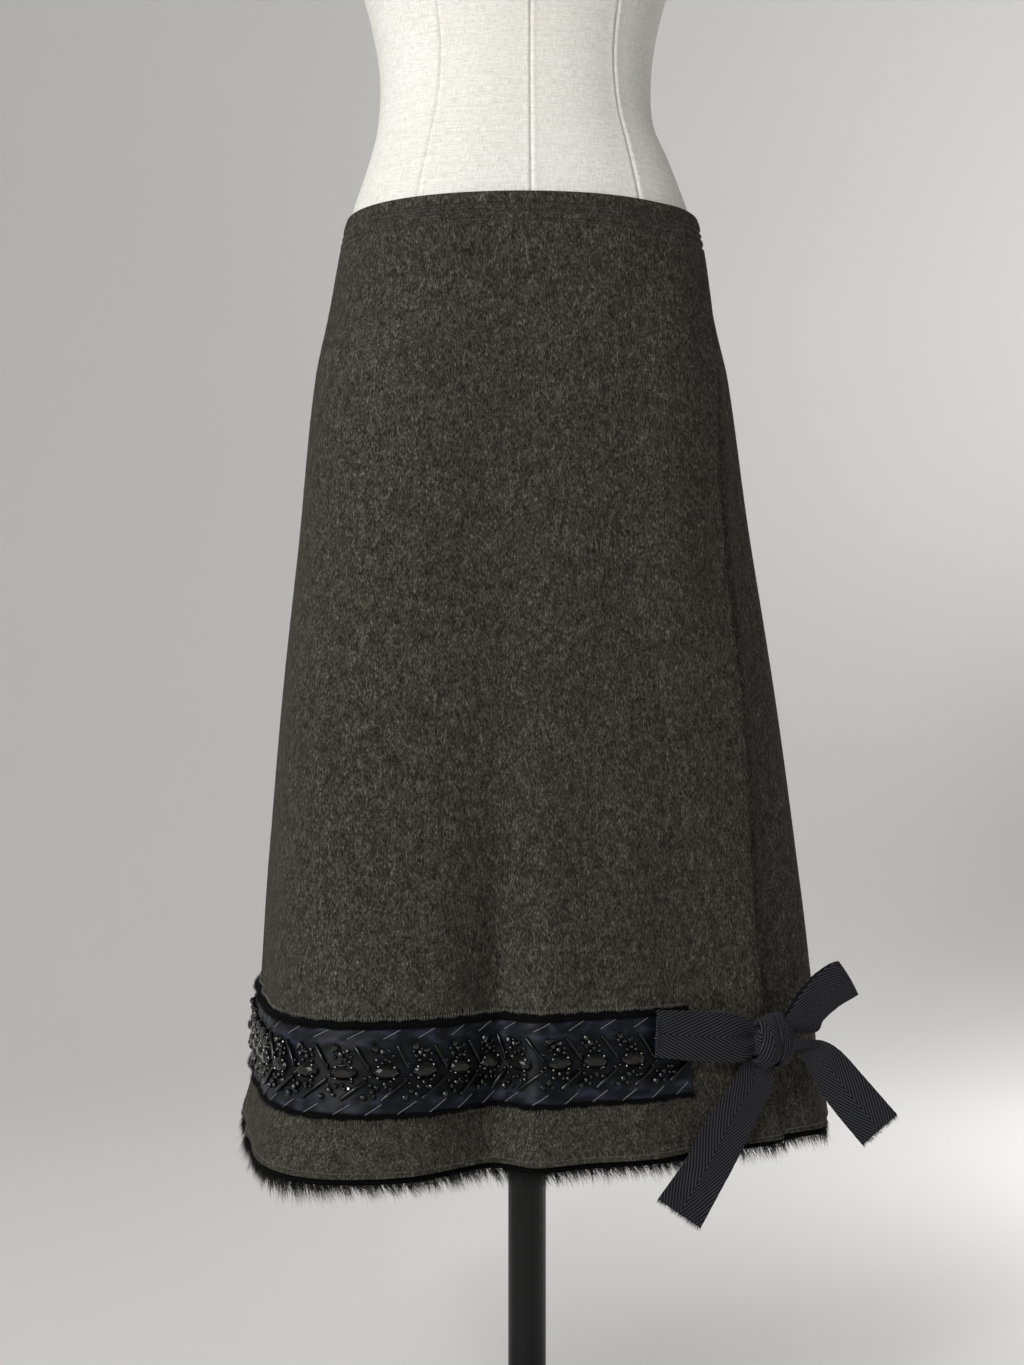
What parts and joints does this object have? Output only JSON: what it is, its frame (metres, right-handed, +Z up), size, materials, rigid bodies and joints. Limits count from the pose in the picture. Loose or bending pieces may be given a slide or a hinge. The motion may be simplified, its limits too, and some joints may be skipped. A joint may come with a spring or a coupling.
{
  "type": "skirt on dress form",
  "caption": "A-line wrap skirt of brushed wool with a beaded ribbon, fur hem and tape bow, on a limbless linen dress form with a round pole stand.",
  "frame": {"origin": "centre of the underside of the stand's round base, on the floor", "axes": "+Z up along the pole, -Y towards the front of the form, +X towards the wearer's left"},
  "size_m": [0.4825, 0.3961, 1.566],
  "materials": {
    "wool": "matt brushed wool, dark olive",
    "linen": "matt ivory linen",
    "beaded_ribbon": "navy satin with black beads",
    "velvet": "black velvet pile",
    "fur": "short black fur",
    "tape": "charcoal herringbone twill",
    "steel": "satin black"
  },
  "bodies": {
    "root": {"form_torso": "linen", "stand_base": "steel", "stand_pole": "steel", "stand_socket": "steel", "skirt_front": "wool", "skirt_back": "wool", "fur_front": "fur", "fur_back": "fur", "trim_ribbon": "beaded_ribbon", "trim_edge_top": "velvet", "trim_edge_bottom": "velvet", "bow_knot": "tape", "bow_loop_left": "tape", "bow_loop_right": "tape", "bow_tail_left": "tape", "bow_tail_right": "tape"}
  },
  "joints": []
}
